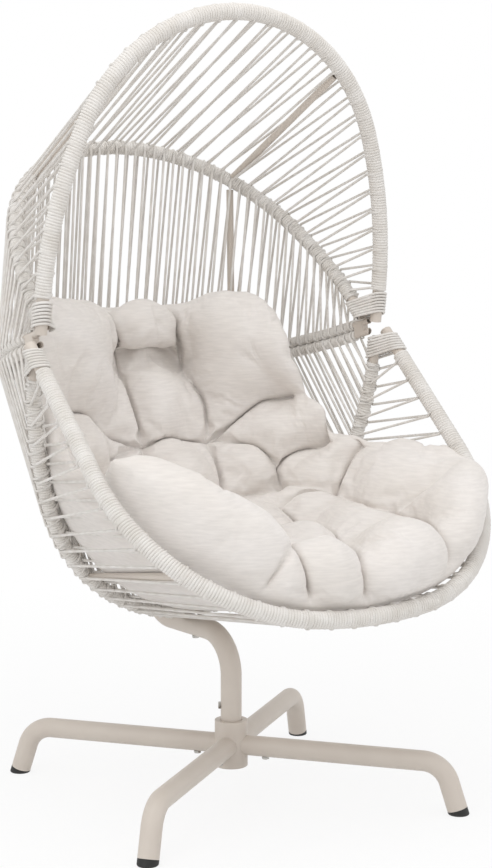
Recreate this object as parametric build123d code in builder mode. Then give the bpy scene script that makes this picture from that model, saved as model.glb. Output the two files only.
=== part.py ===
from build123d import *
import os
from math import atan2, cos, pi, radians, sin, sqrt, tan

# Swivel garden armchair: a rope-bound hood and basket on a four-legged base.
# Millimetres, +Z up. The origin is on the floor under the swivel axis, and the sitter faces -Y.

# Base
foot_circle = 465.0  # swivel axis to the middle of a foot
leg_height = 100.0  # leg axis above the floor
leg_tube = 40.0
leg_wall = 2.5
leg_bend = 55.0  # bend radius on the tube's axis
leg_drop = 72.0  # degrees that the bend turns down
legs_turned = 36.3  # degrees from +X to the first leg, as the chair stands
swage_length = 60.0  # reduced end that slides into a socket
swage_gap = 0.2  # round a reduced end
foot_height = 11.0  # foot plug below the tube end, along the leg
foot_spigot = 18.0
foot_round = 3.0
hub_outer = 66.0
hub_bottom = 56.0
hub_top = 138.0
hub_bore = 38.0
stub_reach = 110.0  # swivel axis to the seam between stub and leg
collar_height = 12.0
cap_thickness = 4.0
leg_bolt_reach = 72.0  # swivel axis to a leg bolt

# Swivel bearing
journal = 30.0  # spindle diameter in the bushes
running_gap = 0.05  # radial, spindle in bush
seat_gap = 0.05  # radial, pressed or welded pieces
bush_length = 30.0
lower_bush_bottom = 74.0
bush_flange = 2.0
thrust_thickness = 2.0
spindle_flange = 3.0
spindle_plug = 70.0  # length inside the post
washer_thickness = 3.0
collar_gap = 0.5  # radial, post in the collar

# Screws and nuts
screw_thread = 8.0
screw_head = 13.0  # across flats
screw_head_height = 5.0
screw_hole_gap = 0.3  # radial
nut_outer = 12.0
nut_height = 7.0
nut_gap = 0.1  # radial, thread in nut

# Post and spine
post_tube = 42.0
post_wall = 2.5
post_bend = 80.0
post_seam = 90.0  # swivel axis back to the seam between post and spine
post_screw_height = 179.0
post_screw_turn = 145.0  # degrees from +X to the post screw
spine_screw_reach = 127.0  # swivel axis back to the spine screw
spine_corner = 262.0  # swivel axis back to the corner where the spine turns up
spine_bend = 75.0

# Side junctions, where all hoops meet
junction_y = 44.5
junction_z = 925.5

# Hoops. half: half width at the junction; reach: junction to crown along the hoop's plane;
# straight: length of the straight sides; turn: degrees of the side arc; lean: plane, from +Y up.
hood_rim_half = 400.0
hood_rim_reach = 617.0
hood_rim_straight = 57.0
hood_rim_turn = 22.0
hood_rim_lean = 98.0
arch_half = 380.0
arch_reach = 524.0
arch_straight = 50.0
arch_turn = 22.0
arch_lean = 44.7
rail_half = 395.0
rail_reach = 444.0
rail_straight = 63.0
rail_turn = 45.0
rail_lean = -14.7
lower_half = 408.0
lower_reach = 583.0
lower_straight = 45.0
lower_turn = 23.0
lower_lean = -80.4
basket_rim_half = 425.0
basket_rim_reach = 690.0
basket_rim_straight = 327.0
basket_rim_turn = 81.0
basket_rim_lean = -135.8
basket_rim_drop = 9.4  # start of the basket rim below the junction

# Frame tubes and rope
rim_tube = 24.0
hoop_tube = 20.0  # rear arch and lower hoop
rail_tube = 14.0
rib_tube = 15.0
frame_wall = 1.5
binding = 4.0  # thickness of the rope wound on the tubes
rope = 5.5
rope_gap = 0.3  # between a cord's end and the binding
pair_gap = 1.0  # between two cords that leave one knot
weld_gap = 0.3
rim_foot = 6.0  # end of each rim from the junction
lashed_end = 74.0  # unbound end of each hoop, under the lashing
bare_end = 60.0  # unbound end of each rail

# Cords: turns of the rope, and the share of each hoop's length where they start
roof_turns = 38
roof_rim_from = 0.048
roof_arch_from = 0.056
seat_turns = 37
seat_rim_from = 0.045
seat_lower_from = 0.056
back_turns = 56
back_arch_from = 0.06
back_rail_from = 0.05
back_lower_from = 0.06
lashing_turns = 6
lashing_from = 26.0  # from the corner where two hoops meet

# Cushion
cushion_from = 0.17  # share of the hoops' length at its sides
cushion_taper = 0.12  # share over which the sides swell
cushion_slices = 11
cushion_edge = 60.0  # thickness at the sides
cushion_thick = 120.0
cushion_bend = 40.0  # inner radius in its corners
cushion_round = 0.45  # end rounding as a part of the thickness
cushion_front = 10.0  # past the axis of the basket rim
cushion_rise = 85.0  # straight part above the bend at the rails
cushion_rise_edge = 33.4
cushion_lean = 8.0  # degrees that its top leans off the hood's back
cushion_early = 40.0  # the sides bend up so much below the rail
cushion_gap = 0.6

# Tufts: rows across the cushion, as shares of its length from front to top, and the slices that are
# tied in each row, counted from the middle
front_row = 0.15
seat_row = 0.32
rear_row = 0.56
lower_row = 0.68
upper_row = 0.89
knee_ties = (0, 2)
side_ties = (0, 3)
hip_ties = (1, 2)
back_ties = (1,)
tuft_depth = 42.0
crease_depth = 20.0  # between the tufts of a row
edge_depth = 16.0  # where a crease runs out over the front or the top
lobe_rise = 1.5  # crown of a lobe over the valleys' mouths
seam_rise = 0.2  # share of its rise that a lobe keeps between two tufts of one slice

# Ribs: share of each hoop's length where the ribs meet it
rib_rim_share = 0.335
rib_arch_share = 0.318
rib_rail_share = 0.283
rib_lower_share = 0.327
rib_basket_rim_share = 0.30

# Rail joint
rail_bolt_reach = 42.0  # junction back to the bolt
rail_thread = 5.0
rail_head = 9.0
rail_head_height = 4.0
spacer_length = 30.0
spacer_width = 14.0

os.makedirs("parts", exist_ok=True)


def save(piece, name):
    piece.label = name
    export_step(piece, f"parts/{name}.step")


def hoop_plane(lean, lift=0.0, drop=0.0):
    """Plane of a hoop: X across the chair, Y from the junction towards the crown."""
    normal = Vector(0, -sin(radians(lean)), cos(radians(lean)))
    origin = Vector(0, junction_y, junction_z - drop) + normal * lift
    return Plane(origin=origin, x_dir=(1, 0, 0), z_dir=normal)


def hoop_line(plane, half, reach, straight, turn, start=0.0):
    """Centreline of a hoop: straight sides, a long side arc and a crown arc."""
    sine, cosine = sin(radians(turn)), cos(radians(turn))
    height = reach - straight
    scale = (1 - cosine) * (1 - sine) - sine * cosine
    side = (half * (1 - sine) - height * cosine) / scale
    crown = (height * (1 - cosine) - half * sine) / scale
    with BuildLine(plane) as line:
        up = Line((half, start), (half, straight))
        rise = JernArc(up @ 1, up % 1, side, turn)
        top = JernArc(rise @ 1, rise % 1, crown, 180 - 2 * turn)
        fall = JernArc(top @ 1, top % 1, side, turn)
        Line(fall @ 1, (-half, start))
    return line.wire()


def clear_run(needed, side_step, offset, angle):
    """Distance along a hoop's straight side at which it clears its neighbour."""
    across = sqrt(max(needed**2 - side_step**2, 0.0))
    return (across + offset) / sin(radians(angle))


def tube(line, outer, inner):
    """Round tube swept along a line."""
    with BuildPart() as swept:
        with BuildSketch(Plane(origin=line @ 0, z_dir=line % 0)):
            Circle(outer / 2)
            if inner > 0:
                Circle(inner / 2, mode=Mode.SUBTRACT)
        sweep(path=line)
    return swept.part


def rod(start, end, diameter, bore=0.0):
    """Straight round bar or tube between two points."""
    with BuildPart() as bar:
        with BuildSketch(Plane(origin=start, z_dir=end - start)):
            Circle(diameter / 2)
            if bore > 0:
                Circle(bore / 2, mode=Mode.SUBTRACT)
        extrude(amount=(end - start).length)
    return bar.part


def screw(length):
    """Hexagon screw: head above Z = 0, thread below it."""
    with BuildPart() as body:
        with BuildSketch():
            RegularPolygon(screw_head / 2, 6, major_radius=False)
        extrude(amount=screw_head_height)
        chamfer(body.faces().sort_by(Axis.Z)[-1].edges(), screw_head_height / 6)
        with BuildSketch():
            Circle(screw_thread / 2)
        extrude(amount=-length)
    return body.part


# Legs and sockets are laid out on +X and then turned into place
leg_corner = foot_circle - leg_height / sin(radians(leg_drop)) * cos(radians(leg_drop))
foot_axis = Vector(cos(radians(leg_drop)), 0, -sin(radians(leg_drop)))
foot_point = Vector(foot_circle, 0, 0)
tube_end = foot_point - foot_axis * foot_height
leg_swage = leg_tube - 2 * leg_wall - 2 * swage_gap
leg_nut_bottom = leg_height - leg_swage / 2 + leg_wall

with BuildPart() as leg:
    with BuildLine(Plane.XZ) as leg_line:
        FilletPolyline(
            (stub_reach, leg_height),
            (leg_corner, leg_height),
            (tube_end.X, tube_end.Z),
            radius=leg_bend,
        )
    with BuildSketch(Plane(origin=leg_line.line @ 0, z_dir=leg_line.line % 0)):
        Circle(leg_tube / 2)
        Circle(leg_tube / 2 - leg_wall, mode=Mode.SUBTRACT)
    sweep()
    with BuildSketch(Plane.YZ.offset(stub_reach + leg_wall)):
        with Locations((0, leg_height)):
            Circle(leg_tube / 2 - leg_wall)
            Circle(leg_swage / 2 - leg_wall, mode=Mode.SUBTRACT)
    extrude(amount=-leg_wall)
    with BuildSketch(Plane.YZ.offset(stub_reach)):
        with Locations((0, leg_height)):
            Circle(leg_swage / 2)
            Circle(leg_swage / 2 - leg_wall, mode=Mode.SUBTRACT)
    extrude(amount=-swage_length)
    with BuildSketch(Plane.XY.offset(leg_height)):
        with Locations((leg_bolt_reach, 0)):
            Circle(screw_thread / 2 + screw_hole_gap)
    extrude(amount=-leg_tube, mode=Mode.SUBTRACT)

with BuildPart() as foot:
    with BuildSketch(Plane(origin=tube_end, z_dir=foot_axis)):
        Circle(leg_tube / 2)
    extrude(amount=2 * foot_height)
    with BuildSketch(Plane(origin=tube_end, z_dir=-foot_axis)):
        Circle(leg_tube / 2 - leg_wall - swage_gap)
    extrude(amount=foot_spigot)
    split(bisect_by=Plane.XY, keep=Keep.TOP)
    fillet(foot.faces().sort_by(Axis.Z)[0].edges(), foot_round)

with BuildPart() as leg_nut:
    with BuildSketch(Plane.XY.offset(leg_nut_bottom)):
        with Locations((leg_bolt_reach, 0)):
            Circle(nut_outer / 2)
            Circle(screw_thread / 2 + nut_gap, mode=Mode.SUBTRACT)
    extrude(amount=nut_height)
    with BuildSketch(Plane.YZ.offset(leg_bolt_reach)):
        with Locations((0, leg_height)):
            Circle(leg_swage / 2)
            Circle(leg_swage / 2 - leg_wall - seat_gap, mode=Mode.SUBTRACT)
    extrude(amount=nut_outer, both=True, mode=Mode.SUBTRACT)

leg_bolt = screw(leg_wall + swage_gap + leg_wall + nut_height)
leg_bolt = leg_bolt.moved(Location((leg_bolt_reach, 0, leg_height - leg_tube / 2), (180, 0, 0)))

leg_angles = [legs_turned + 90 * number for number in range(4)]
leg_turns = [Rot(0, 0, angle) for angle in leg_angles]
for number, turned in enumerate(leg_turns, start=1):
    save(turned * leg.part, f"leg_{number}")
    save(turned * foot.part, f"foot_plug_{number}")

with BuildPart() as leg_bolts:
    add([turned * leg_bolt for turned in leg_turns])
save(leg_bolts.part, "leg_bolts")

with BuildPart() as leg_nuts:
    add([turned * leg_nut.part for turned in leg_turns])
save(leg_nuts.part, "leg_nuts")

# Hub: barrel and four sockets, bored for the bushes
leg_headings = [Vector(1, 0, 0).rotate(Axis.Z, angle) for angle in leg_angles]
sockets = [Plane(origin=(0, 0, leg_height), z_dir=heading) for heading in leg_headings]
with BuildPart() as hub:
    with BuildSketch(Plane.XY.offset(hub_bottom)):
        Circle(hub_outer / 2)
    extrude(amount=hub_top - hub_bottom)
    for socket in sockets:
        with BuildSketch(socket):
            Circle(leg_tube / 2)
        extrude(amount=stub_reach)
    for socket in sockets:
        with BuildSketch(socket.offset(stub_reach - swage_length - leg_wall)):
            Circle(leg_tube / 2 - leg_wall)
        extrude(amount=swage_length + 2 * leg_wall, mode=Mode.SUBTRACT)
    with BuildSketch(Plane.XY.offset(leg_height)):
        with PolarLocations(leg_bolt_reach, 4, start_angle=legs_turned):
            Circle(screw_thread / 2 + screw_hole_gap)
    extrude(amount=-leg_tube, mode=Mode.SUBTRACT)
    with BuildSketch(Plane.XY.offset(hub_bottom)):
        Circle(hub_bore / 2)
    extrude(amount=hub_top - hub_bottom, mode=Mode.SUBTRACT)
    bottom_rings = hub.edges().filter_by(GeomType.CIRCLE).group_by(Axis.Z)[0]
    chamfer(bottom_rings.sort_by(SortBy.RADIUS)[-1], leg_wall / 2)
save(hub.part, "hub")

with BuildPart() as hub_collar:
    with BuildSketch(Plane.XY.offset(hub_top)):
        Circle(hub_outer / 2)
        Circle(post_tube / 2 + collar_gap, mode=Mode.SUBTRACT)
    extrude(amount=collar_height)
    fillet(hub_collar.faces().sort_by(Axis.Z)[-1].edges(), collar_gap * 2)
save(hub_collar.part, "hub_collar")

with BuildPart() as hub_cap:
    with BuildSketch(Plane.XY.offset(hub_bottom)):
        Circle(hub_bore / 2 - seat_gap)
    extrude(amount=cap_thickness)
save(hub_cap.part, "hub_cap")

# Swivel bearing
with BuildPart() as lower_bush:
    with BuildSketch(Plane.XY.offset(lower_bush_bottom)):
        Circle(hub_bore / 2 - seat_gap)
        Circle(journal / 2 + running_gap, mode=Mode.SUBTRACT)
    extrude(amount=bush_length)
save(lower_bush.part, "lower_bush")

with BuildPart() as upper_bush:
    with BuildSketch(Plane.XY.offset(hub_top)):
        Circle(hub_bore / 2 - seat_gap)
    extrude(amount=-bush_length)
    with BuildSketch(Plane.XY.offset(hub_top)):
        Circle(post_tube / 2)
    extrude(amount=bush_flange)
    with BuildSketch(Plane.XY.offset(hub_top + bush_flange)):
        Circle(journal / 2 + running_gap)
    extrude(amount=-bush_flange - bush_length, mode=Mode.SUBTRACT)
save(upper_bush.part, "upper_bush")

thrust_bottom = hub_top + bush_flange
with BuildPart() as thrust_washer:
    with BuildSketch(Plane.XY.offset(thrust_bottom)):
        Circle(post_tube / 2)
        Circle(journal / 2 + running_gap, mode=Mode.SUBTRACT)
    extrude(amount=thrust_thickness)
save(thrust_washer.part, "thrust_washer")

flange_bottom = thrust_bottom + thrust_thickness
post_bottom = flange_bottom + spindle_flange
post_inner = post_tube - 2 * post_wall
post_screw_out = Vector(1, 0, 0).rotate(Axis.Z, post_screw_turn)
post_screw_plane = Plane(origin=(0, 0, post_screw_height), z_dir=post_screw_out)
spindle_screw_depth = bush_length
with BuildPart() as spindle:
    with BuildSketch(Plane.XY.offset(lower_bush_bottom)):
        Circle(journal / 2)
    extrude(amount=flange_bottom - lower_bush_bottom)
    with BuildSketch(Plane.XY.offset(flange_bottom)):
        Circle(post_tube / 2)
    extrude(amount=spindle_flange)
    with BuildSketch(Plane.XY.offset(post_bottom)):
        Circle(post_inner / 2 - seat_gap)
    extrude(amount=spindle_plug)
    with BuildSketch(Plane.XY.offset(lower_bush_bottom)):
        Circle(screw_thread / 2 + nut_gap)
    extrude(amount=spindle_screw_depth, mode=Mode.SUBTRACT)
    with BuildSketch(post_screw_plane):
        Circle(screw_thread / 2 + nut_gap)
    extrude(amount=post_tube, mode=Mode.SUBTRACT)
save(spindle.part, "spindle")

with BuildPart() as spindle_washer:
    with BuildSketch(Plane.XY.offset(lower_bush_bottom)):
        Circle(hub_bore / 2 - collar_gap)
        Circle(screw_thread / 2 + nut_gap, mode=Mode.SUBTRACT)
    extrude(amount=-washer_thickness)
save(spindle_washer.part, "spindle_washer")

spindle_screw = screw(washer_thickness + spindle_screw_depth - nut_gap)
spindle_screw = spindle_screw.moved(Location((0, 0, lower_bush_bottom - washer_thickness), (180, 0, 0)))
save(spindle_screw, "spindle_screw")

# Hoops of the hood and the basket
rail_lift = rail_tube / 2 + binding + weld_gap / 2
hood_rim_plane = hoop_plane(hood_rim_lean)
arch_plane = hoop_plane(arch_lean)
hood_rail_plane = hoop_plane(rail_lean, lift=rail_lift)
basket_rail_plane = hoop_plane(rail_lean, lift=-rail_lift)
lower_plane = hoop_plane(lower_lean)
basket_rim_plane = hoop_plane(basket_rim_lean, drop=basket_rim_drop)
hood_rim_sizes = (hood_rim_half, hood_rim_reach, hood_rim_straight, hood_rim_turn)
arch_sizes = (arch_half, arch_reach, arch_straight, arch_turn)
rail_sizes = (rail_half, rail_reach, rail_straight, rail_turn)
lower_sizes = (lower_half, lower_reach, lower_straight, lower_turn)
basket_rim_sizes = (basket_rim_half, basket_rim_reach, basket_rim_straight, basket_rim_turn)

arch_over_rail = arch_lean - rail_lean
arch_step = rail_half - arch_half
arch_start = clear_run((hoop_tube + rail_tube) / 2 + weld_gap, arch_step, rail_lift, arch_over_rail)
rim_under = lower_lean - basket_rim_lean
lower_step = basket_rim_half - lower_half
rim_offset = basket_rim_drop * -cos(radians(basket_rim_lean))
lower_start = clear_run((hoop_tube + rim_tube) / 2 + weld_gap, lower_step, rim_offset, rim_under)
rim_corner = -basket_rim_drop * cos(radians(lower_lean)) / sin(radians(rim_under))
lower_corner = rim_offset / sin(radians(rim_under))
rail_start = rim_tube / 2

rim_bound = rim_tube + 2 * binding
hoop_bound = hoop_tube + 2 * binding
rail_bound = rail_tube + 2 * binding

hood_rim_line = hoop_line(hood_rim_plane, *hood_rim_sizes)
arch_line = hoop_line(arch_plane, *arch_sizes)
hood_rail_line = hoop_line(hood_rail_plane, *rail_sizes)
basket_rail_line = hoop_line(basket_rail_plane, *rail_sizes)
lower_line = hoop_line(lower_plane, *lower_sizes)
basket_rim_line = hoop_line(basket_rim_plane, *basket_rim_sizes)


def binding_sleeve(line, bare, tube_outer):
    """Rope wound on a tube between its bare ends, as the sleeve that its turns fill."""
    share = bare / line.length
    return tube(line.trim(share, 1 - share), tube_outer + 2 * binding, tube_outer + 2 * seat_gap)


save(
    tube(hoop_line(hood_rim_plane, *hood_rim_sizes, start=rim_foot), rim_tube, rim_tube - 2 * frame_wall),
    "hood_rim",
)
save(binding_sleeve(hood_rim_line, lashed_end, rim_tube), "hood_rim_binding")
save(
    tube(hoop_line(arch_plane, *arch_sizes, start=arch_start), hoop_tube, hoop_tube - 2 * frame_wall),
    "rear_arch",
)
save(binding_sleeve(arch_line, lashed_end, hoop_tube), "rear_arch_binding")
save(
    tube(hoop_line(basket_rim_plane, *basket_rim_sizes, start=rim_foot), rim_tube, rim_tube - 2 * frame_wall),
    "basket_rim",
)
save(binding_sleeve(basket_rim_line, lashed_end, rim_tube), "basket_rim_binding")
save(
    tube(hoop_line(lower_plane, *lower_sizes, start=lower_start), hoop_tube, hoop_tube - 2 * frame_wall),
    "lower_hoop",
)

# Post and spine: the spine's socket takes the post's end under the lower hoop
crown_lower = lower_line @ 0.5
crown_rail = basket_rail_line @ 0.5
run_height = crown_lower.Z - (hoop_tube + post_tube) / 2 - weld_gap
net_slope = atan2(crown_rail.Z - crown_lower.Z, crown_rail.Y - crown_lower.Y)
behind_rail = (post_tube + rail_bound) / 2 + weld_gap
spine_top = crown_rail + Vector(0, sin(net_slope), -cos(net_slope)) * behind_rail
post_swage = post_inner - 2 * swage_gap
spine_nut_bottom = run_height - post_swage / 2 + post_wall
run_plane = Plane(origin=(0, post_seam, run_height), x_dir=(0, 0, -1), z_dir=(0, 1, 0))

with BuildPart() as swivel_post:
    with BuildLine(Plane.YZ) as post_line:
        FilletPolyline((0, post_bottom), (0, run_height), (post_seam, run_height), radius=post_bend)
    with BuildSketch(Plane(origin=post_line.line @ 0, z_dir=post_line.line % 0)):
        Circle(post_tube / 2)
        Circle(post_inner / 2, mode=Mode.SUBTRACT)
    sweep()
    with BuildSketch(run_plane.offset(-post_wall)):
        Circle(post_inner / 2)
        Circle(post_swage / 2 - post_wall, mode=Mode.SUBTRACT)
    extrude(amount=post_wall)
    with BuildSketch(run_plane):
        Circle(post_swage / 2)
        Circle(post_swage / 2 - post_wall, mode=Mode.SUBTRACT)
    extrude(amount=swage_length)
    with BuildSketch(Plane.XY.offset(run_height)):
        with Locations((0, spine_screw_reach)):
            Circle(screw_thread / 2 + screw_hole_gap)
    extrude(amount=-post_tube, mode=Mode.SUBTRACT)
    with BuildSketch(post_screw_plane):
        Circle(screw_thread / 2 + screw_hole_gap)
    extrude(amount=post_tube, mode=Mode.SUBTRACT)
save(swivel_post.part, "swivel_post")

post_screw = screw(post_tube / 2 - seat_gap)
save(post_screw.moved(post_screw_plane.offset(post_tube / 2).location), "post_screw")

with BuildPart() as seat_spine:
    with BuildLine(Plane.YZ) as spine_line:
        FilletPolyline(
            (post_seam + seat_gap, run_height),
            (spine_corner, run_height),
            (spine_top.Y, spine_top.Z),
            radius=spine_bend,
        )
    with BuildSketch(Plane(origin=spine_line.line @ 0, z_dir=spine_line.line % 0)):
        Circle(post_tube / 2)
        Circle(post_inner / 2, mode=Mode.SUBTRACT)
    sweep()
    with BuildSketch(Plane.XY.offset(run_height)):
        with Locations((0, spine_screw_reach)):
            Circle(screw_thread / 2 + screw_hole_gap)
    extrude(amount=-post_tube, mode=Mode.SUBTRACT)
save(seat_spine.part, "seat_spine")

spine_screw = screw(post_wall + swage_gap + post_wall + nut_height)
spine_screw_seat = Location((0, spine_screw_reach, run_height - post_tube / 2), (180, 0, 0))
save(spine_screw.moved(spine_screw_seat), "spine_screw")

with BuildPart() as spine_nut:
    with BuildSketch(Plane.XY.offset(spine_nut_bottom)):
        with Locations((0, spine_screw_reach)):
            Circle(nut_outer / 2)
            Circle(screw_thread / 2 + nut_gap, mode=Mode.SUBTRACT)
    extrude(amount=nut_height)
    with BuildSketch(Plane(origin=(0, spine_screw_reach, run_height), z_dir=(0, 1, 0))):
        Circle(post_swage / 2)
        Circle(post_swage / 2 - post_wall - seat_gap, mode=Mode.SUBTRACT)
    extrude(amount=nut_outer, both=True, mode=Mode.SUBTRACT)
save(spine_nut.part, "spine_nut")

with BuildPart() as lower_hoop_binding:
    add(binding_sleeve(lower_line, lashed_end + lower_corner, hoop_tube))
    with BuildSketch(run_plane):
        Circle(post_tube / 2 + binding)
    extrude(amount=spine_corner - post_seam, mode=Mode.SUBTRACT)
save(lower_hoop_binding.part, "lower_hoop_binding")

# Rails: the hood's lies on the basket's, and their bare ends are bolted through a spacer
rail_ends = [rail_half, -rail_half]
bolt_spots = [(end, rail_bolt_reach) for end in rail_ends]
rail_middle = hoop_plane(rail_lean)


def rail(plane):
    """Rail tube with its ends coped to the hood rim and drilled for the bolts."""
    with BuildPart() as bar:
        add(tube(hoop_line(plane, *rail_sizes, start=rail_start), rail_tube, rail_tube - 2 * frame_wall))
        with BuildSketch(plane.offset(-rail_tube)):
            with Locations(*bolt_spots):
                Circle(rail_thread / 2 + screw_hole_gap)
        extrude(amount=2 * rail_tube, mode=Mode.SUBTRACT)
        for end in (hood_rim_half, -hood_rim_half):
            rim_axis = Plane(origin=hood_rim_plane.from_local_coords((end, 0)), z_dir=hood_rim_plane.y_dir)
            with BuildSketch(rim_axis):
                Circle(rim_tube / 2 + seat_gap)
            extrude(amount=bare_end, both=True, mode=Mode.SUBTRACT)
    return bar.part


save(rail(hood_rail_plane), "hood_rail")
save(rail(basket_rail_plane), "basket_rail")
save(binding_sleeve(hood_rail_line, bare_end, rail_tube), "hood_rail_binding")
save(binding_sleeve(basket_rail_line, bare_end, rail_tube), "basket_rail_binding")

with BuildPart() as rail_spacers:
    with BuildSketch(rail_middle.offset(-rail_lift)):
        with Locations(*bolt_spots):
            Rectangle(spacer_width, spacer_length)
            Circle(rail_thread / 2 + screw_hole_gap, mode=Mode.SUBTRACT)
    extrude(amount=2 * rail_lift)
    for plane in (hood_rail_plane, basket_rail_plane):
        with BuildSketch(Plane(origin=plane.origin, x_dir=(1, 0, 0), z_dir=plane.y_dir)):
            with Locations(*[(end, 0) for end in rail_ends]):
                Circle(rail_tube / 2 + seat_gap)
        extrude(amount=2 * rail_bolt_reach, mode=Mode.SUBTRACT)
save(rail_spacers.part, "rail_spacers")

rail_grip = 2 * rail_lift + rail_tube
with BuildPart() as rail_bolts:
    with BuildSketch(rail_middle.offset(-rail_grip / 2)):
        with Locations(*bolt_spots):
            Circle(rail_thread / 2)
    extrude(amount=rail_grip + rail_head_height)
    with BuildSketch(rail_middle.offset(-rail_grip / 2)):
        with Locations(*bolt_spots):
            Circle(rail_head / 2)
    extrude(amount=-rail_head_height)
    fillet(rail_bolts.faces().sort_by(Axis.Z)[:2].edges(), rail_head_height / 3)
save(rail_bolts.part, "rail_bolts")

with BuildPart() as rail_nuts:
    with BuildSketch(rail_middle.offset(rail_grip / 2)):
        with Locations(*bolt_spots):
            RegularPolygon(rail_head / 2, 6)
            Circle(rail_thread / 2 + nut_gap, mode=Mode.SUBTRACT)
    extrude(amount=rail_head_height)
save(rail_nuts.part, "rail_nuts")

# Ribs and cords run straight between two hoops, each known by its line and its bound diameter
hood_rim_hoop = (hood_rim_line, rim_bound)
arch_hoop = (arch_line, hoop_bound)
hood_rail_hoop = (hood_rail_line, rail_bound)
basket_rail_hoop = (basket_rail_line, rail_bound)
under_hoop = (lower_line, hoop_bound)
basket_rim_hoop = (basket_rim_line, rim_bound)


def shares(first, count):
    """Even shares of a hoop's length, as far from one end as from the other."""
    return [first + (1 - 2 * first) * number / (count - 1) for number in range(count)]


def bar_ends(upper, upper_share, lower, lower_share, diameter, sidestep=0.0):
    """Ends of a bar between two hoops: shifted along both, and stopped at their bindings."""
    hoops = [(*upper, upper_share), (*lower, lower_share)]
    start, end = [line.position_at(share) for line, bound, share in hoops]
    heading = (end - start).normalized()
    ends = []
    for (line, bound, share), point, sense in zip(hoops, (start, end), (1, -1)):
        along = line.tangent_at(share)
        lean = abs(heading.dot(along))
        rise = sqrt(1 - lean**2)
        leave = (bound / 2 + rope_gap + diameter / 2 * lean) / rise
        ends.append(point + (along * (sidestep / rise) + heading * leave) * sense)
    return ends


def ribs(upper, upper_share, lower, lower_share):
    """Ends of the left and right rib between two hoops."""
    left = bar_ends(upper, upper_share, lower, lower_share, rib_tube)
    right = bar_ends(upper, 1 - upper_share, lower, 1 - lower_share, rib_tube)
    return [left, right]


def zigzag(upper, upper_from, lower, lower_from, turns):
    """Cords that run to and fro between two hoops, side by side where they turn."""
    sidestep = (rope + pair_gap) / 2
    tops = shares(upper_from, turns)
    feet = shares(lower_from, turns + 1)
    cords = []
    for number, top in enumerate(tops):
        cords.append(bar_ends(upper, top, lower, feet[number], rope, -sidestep))
        cords.append(bar_ends(upper, top, lower, feet[number + 1], rope, sidestep))
    return cords


def wound(upper, upper_from, lower, lower_from, turns):
    """Cords wound round two hoops: one layer before their axes, the other behind."""
    tops = shares(upper_from, turns)
    feet = shares(lower_from, 2 * turns)
    cords = []
    for number, top in enumerate(tops):
        for layer, side in enumerate((1, -1)):
            hoops = [(*upper, top), (*lower, feet[2 * number + layer])]
            start, end = [line.position_at(share) for line, bound, share in hoops]
            ends = []
            for (line, bound, share), point in zip(hoops, (start, end)):
                outward = line.tangent_at(share).cross(end - start).normalized()
                ends.append(point + outward * (side * ((bound + rope) / 2 + rope_gap)))
            cords.append(ends)
    return cords


def beside(cords, bars, bar_width):
    """Those of the cords that pass clear of every bar."""
    reach = (bar_width + rope) / 2 + rope_gap
    axes = [Edge.make_line(*bar) for bar in bars]
    return [ends for ends in cords if min(Edge.make_line(*ends).distance_to(axis) for axis in axes) > reach]


def save_cords(cords, name):
    with BuildPart() as net:
        add([rod(start, end, rope) for start, end in cords])
    save(net.part, name)


def save_ribs(pair, name):
    for side, ends in zip(("left", "right"), pair):
        save(rod(*ends, rib_tube, rib_tube - 2 * frame_wall), f"{name}_{side}")


roof_ribs = ribs(hood_rim_hoop, rib_rim_share, arch_hoop, rib_arch_share)
seat_ribs = ribs(basket_rim_hoop, rib_basket_rim_share, under_hoop, rib_lower_share)
save_ribs(roof_ribs, "roof_rib")
save_ribs(ribs(arch_hoop, rib_arch_share, hood_rail_hoop, rib_rail_share), "hood_back_rib")
save_ribs(ribs(basket_rail_hoop, rib_rail_share, under_hoop, rib_lower_share), "basket_back_rib")
save_ribs(seat_ribs, "seat_rib")

roof_cords = zigzag(hood_rim_hoop, roof_rim_from, arch_hoop, roof_arch_from, roof_turns)
seat_cords = zigzag(basket_rim_hoop, seat_rim_from, under_hoop, seat_lower_from, seat_turns)
hood_back_cords = wound(arch_hoop, back_arch_from, hood_rail_hoop, back_rail_from, back_turns)
basket_back_cords = wound(basket_rail_hoop, back_rail_from, under_hoop, back_lower_from, back_turns)
spine_rise = [Vector(0, spine_corner, run_height), spine_top]
save_cords(beside(roof_cords, roof_ribs, rib_tube), "roof_cords")
save_cords(beside(seat_cords, seat_ribs, rib_tube), "seat_cords")
save_cords(hood_back_cords, "hood_back_cords")
save_cords(beside(basket_back_cords, [spine_rise], post_tube), "basket_back_cords")

# Lashings: rope wound round two hoops together where they meet
lashing_pitch = rope + rope_gap


def lashings(first, first_half, first_corner, second, second_half, second_corner, angle):
    """Loops round the ends of two hoops, on the left and on the right."""
    lean = cos(radians(angle / 2))
    radius = rim_tube / 2 / lean + rope / 2 + 2 * weld_gap
    loops = []
    for side in (1, -1):
        for number in range(lashing_turns):
            run = (lashing_from + lashing_pitch * number) / lean
            start = first.from_local_coords(Vector(side * first_half, first_corner + run))
            end = second.from_local_coords(Vector(side * second_half, second_corner + run))
            across = end - start
            axis = across.cross(first.y_dir + second.y_dir).cross(across)
            with BuildSketch(Plane(origin=(start + end) / 2, x_dir=across, z_dir=axis)) as outline:
                SlotCenterToCenter(across.length, 2 * radius)
            loops.append(tube(outline.sketch.faces()[0].outer_wire(), rope, 0))
    return loops


with BuildPart() as hood_lashings:
    add(lashings(hood_rim_plane, hood_rim_half, 0, arch_plane, arch_half, 0, hood_rim_lean - arch_lean))
save(hood_lashings.part, "hood_lashings")

with BuildPart() as basket_lashings:
    add(
        lashings(
            basket_rim_plane,
            basket_rim_half,
            rim_corner,
            lower_plane,
            lower_half,
            lower_corner,
            rim_under,
        )
    )
save(basket_lashings.part, "basket_lashings")

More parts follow.
